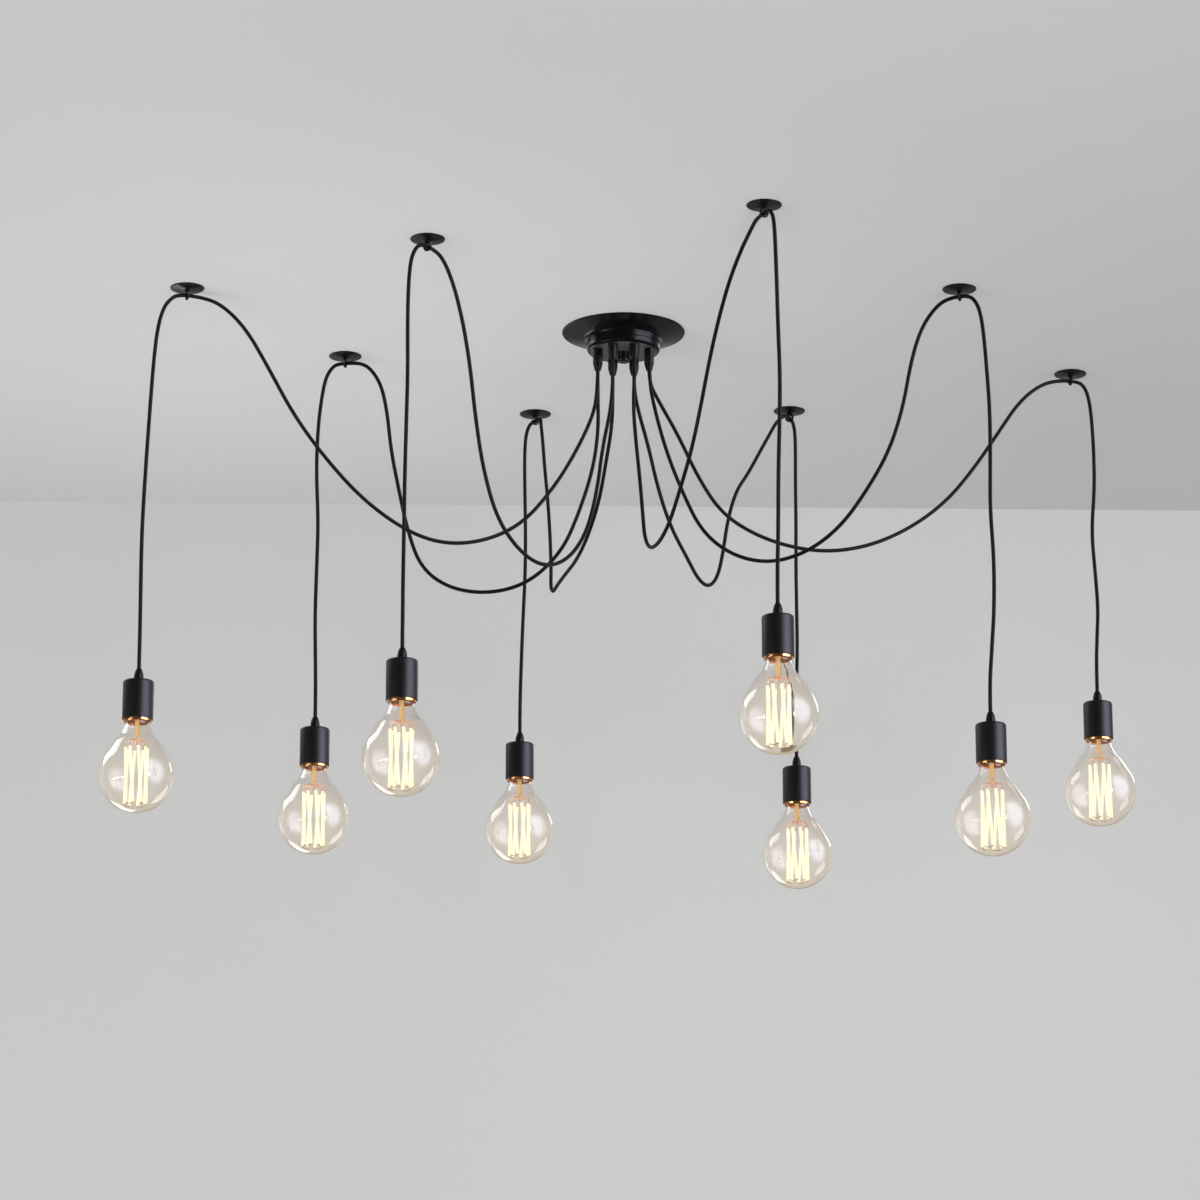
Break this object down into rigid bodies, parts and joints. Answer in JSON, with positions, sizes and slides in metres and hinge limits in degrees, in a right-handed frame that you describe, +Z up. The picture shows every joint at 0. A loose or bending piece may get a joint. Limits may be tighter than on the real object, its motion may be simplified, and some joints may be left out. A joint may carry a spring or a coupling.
{
  "type": "pendant chandelier",
  "caption": "Hanging light: a round black canopy feeds long black cords that sag out to ceiling hooks, and each drops to a black lampholder with a clear globe lamp.",
  "frame": {"origin": "on the ceiling surface, at the middle of the canopy and of its bracket's two slots", "axes": "+Z up into the ceiling, +X along the bracket and the longer side of the spread of lamps"},
  "size_m": [1.3412, 0.976, 0.7757],
  "materials": {
    "zinc_steel": "satin",
    "canopy_black": "satin",
    "cap_nut_black": "gloss",
    "gland_black": "satin",
    "nut_black": "satin",
    "block_plastic": "satin",
    "screw_brass": "satin",
    "wire_brown": "satin",
    "wire_blue": "satin",
    "hook_black": "satin",
    "cord_black": "satin",
    "socket_black": "satin",
    "holder_copper": "gloss",
    "lamp_glass": "gloss",
    "cap_metal": "satin"
  },
  "bodies": {
    "ceiling_part": {"ceiling_bracket": "zinc_steel", "threaded_nipple": "zinc_steel", "canopy_dish": "canopy_black", "cap_nut": "cap_nut_black", "cord_glands": "gland_black", "gland_lock_nuts": "nut_black", "terminal_blocks": "block_plastic", "terminal_screws": "screw_brass", "live_wires": "wire_brown", "neutral_wires": "wire_blue", "hook_discs": "hook_black", "ceiling_hooks": "hook_black", "swag_cord_1": "cord_black", "swag_cord_2": "cord_black", "swag_cord_3": "cord_black", "swag_cord_4": "cord_black", "swag_cord_5": "cord_black", "swag_cord_6": "cord_black", "swag_cord_7": "cord_black", "swag_cord_8": "cord_black"},
    "pendant_1": {"drop_cord_1": "cord_black", "socket_shell_1": "socket_black", "lampholder_1": "holder_copper"},
    "bulb_1": {"bulb_glass_1": "lamp_glass", "bulb_base_1": "cap_metal"},
    "pendant_2": {"drop_cord_2": "cord_black", "socket_shell_2": "socket_black", "lampholder_2": "holder_copper"},
    "bulb_2": {"bulb_glass_2": "lamp_glass", "bulb_base_2": "cap_metal"},
    "pendant_3": {"drop_cord_3": "cord_black", "socket_shell_3": "socket_black", "lampholder_3": "holder_copper"},
    "bulb_3": {"bulb_glass_3": "lamp_glass", "bulb_base_3": "cap_metal"},
    "pendant_4": {"drop_cord_4": "cord_black", "socket_shell_4": "socket_black", "lampholder_4": "holder_copper"},
    "bulb_4": {"bulb_glass_4": "lamp_glass", "bulb_base_4": "cap_metal"},
    "pendant_5": {"drop_cord_5": "cord_black", "socket_shell_5": "socket_black", "lampholder_5": "holder_copper"},
    "bulb_5": {"bulb_glass_5": "lamp_glass", "bulb_base_5": "cap_metal"},
    "pendant_6": {"drop_cord_6": "cord_black", "socket_shell_6": "socket_black", "lampholder_6": "holder_copper"},
    "bulb_6": {"bulb_glass_6": "lamp_glass", "bulb_base_6": "cap_metal"},
    "pendant_7": {"drop_cord_7": "cord_black", "socket_shell_7": "socket_black", "lampholder_7": "holder_copper"},
    "bulb_7": {"bulb_glass_7": "lamp_glass", "bulb_base_7": "cap_metal"},
    "pendant_8": {"drop_cord_8": "cord_black", "socket_shell_8": "socket_black", "lampholder_8": "holder_copper"},
    "bulb_8": {"bulb_glass_8": "lamp_glass", "bulb_base_8": "cap_metal"}
  },
  "joints": [
    {"name": "pendant_1_swing", "type": "hinge", "parent": "ceiling_part", "child": "pendant_1", "pos_m": [-0.564, -0.176, -0.0104], "axis": [-0.9564, -0.2921, 0], "range_deg": [-12, 12]},
    {"name": "bulb_1_unscrew", "type": "slide", "parent": "pendant_1", "child": "bulb_1", "axis": [0, 0, -1], "range_m": [0, 0.04]},
    {"name": "pendant_2_swing", "type": "hinge", "parent": "ceiling_part", "child": "pendant_2", "pos_m": [-0.375, 0.098, -0.0104], "axis": [-0.971, 0.2389, 0], "range_deg": [-12, 12]},
    {"name": "bulb_2_unscrew", "type": "slide", "parent": "pendant_2", "child": "bulb_2", "axis": [0, 0, -1], "range_m": [0, 0.04]},
    {"name": "pendant_3_swing", "type": "hinge", "parent": "ceiling_part", "child": "pendant_3", "pos_m": [-0.247, -0.359, -0.0104], "axis": [-0.5826, -0.8128, 0], "range_deg": [-12, 12]},
    {"name": "bulb_3_unscrew", "type": "slide", "parent": "pendant_3", "child": "bulb_3", "axis": [0, 0, -1], "range_m": [0, 0.04]},
    {"name": "pendant_4_swing", "type": "hinge", "parent": "ceiling_part", "child": "pendant_4", "pos_m": [-0.122, 0.351, -0.0104], "axis": [-0.5505, 0.8349, 0], "range_deg": [-12, 12]},
    {"name": "bulb_4_unscrew", "type": "slide", "parent": "pendant_4", "child": "bulb_4", "axis": [0, 0, -1], "range_m": [0, 0.04]},
    {"name": "pendant_5_swing", "type": "hinge", "parent": "ceiling_part", "child": "pendant_5", "pos_m": [0.17, -0.479, -0.0104], "axis": [0.4541, -0.8909, 0], "range_deg": [-12, 12]},
    {"name": "bulb_5_unscrew", "type": "slide", "parent": "pendant_5", "child": "bulb_5", "axis": [0, 0, -1], "range_m": [0, 0.04]},
    {"name": "pendant_6_swing", "type": "hinge", "parent": "ceiling_part", "child": "pendant_6", "pos_m": [0.234, 0.337, -0.0104], "axis": [0.3417, 0.9398, 0], "range_deg": [-12, 12]},
    {"name": "bulb_6_unscrew", "type": "slide", "parent": "pendant_6", "child": "bulb_6", "axis": [0, 0, -1], "range_m": [0, 0.04]},
    {"name": "pendant_7_swing", "type": "hinge", "parent": "ceiling_part", "child": "pendant_7", "pos_m": [0.433, -0.172, -0.0104], "axis": [0.9298, -0.368, 0], "range_deg": [-12, 12]},
    {"name": "bulb_7_unscrew", "type": "slide", "parent": "pendant_7", "child": "bulb_7", "axis": [0, 0, -1], "range_m": [0, 0.04]},
    {"name": "pendant_8_swing", "type": "hinge", "parent": "ceiling_part", "child": "pendant_8", "pos_m": [0.611, 0.174, -0.0104], "axis": [0.9637, 0.267, 0], "range_deg": [-12, 12]},
    {"name": "bulb_8_unscrew", "type": "slide", "parent": "pendant_8", "child": "bulb_8", "axis": [0, 0, -1], "range_m": [0, 0.04]}
  ]
}
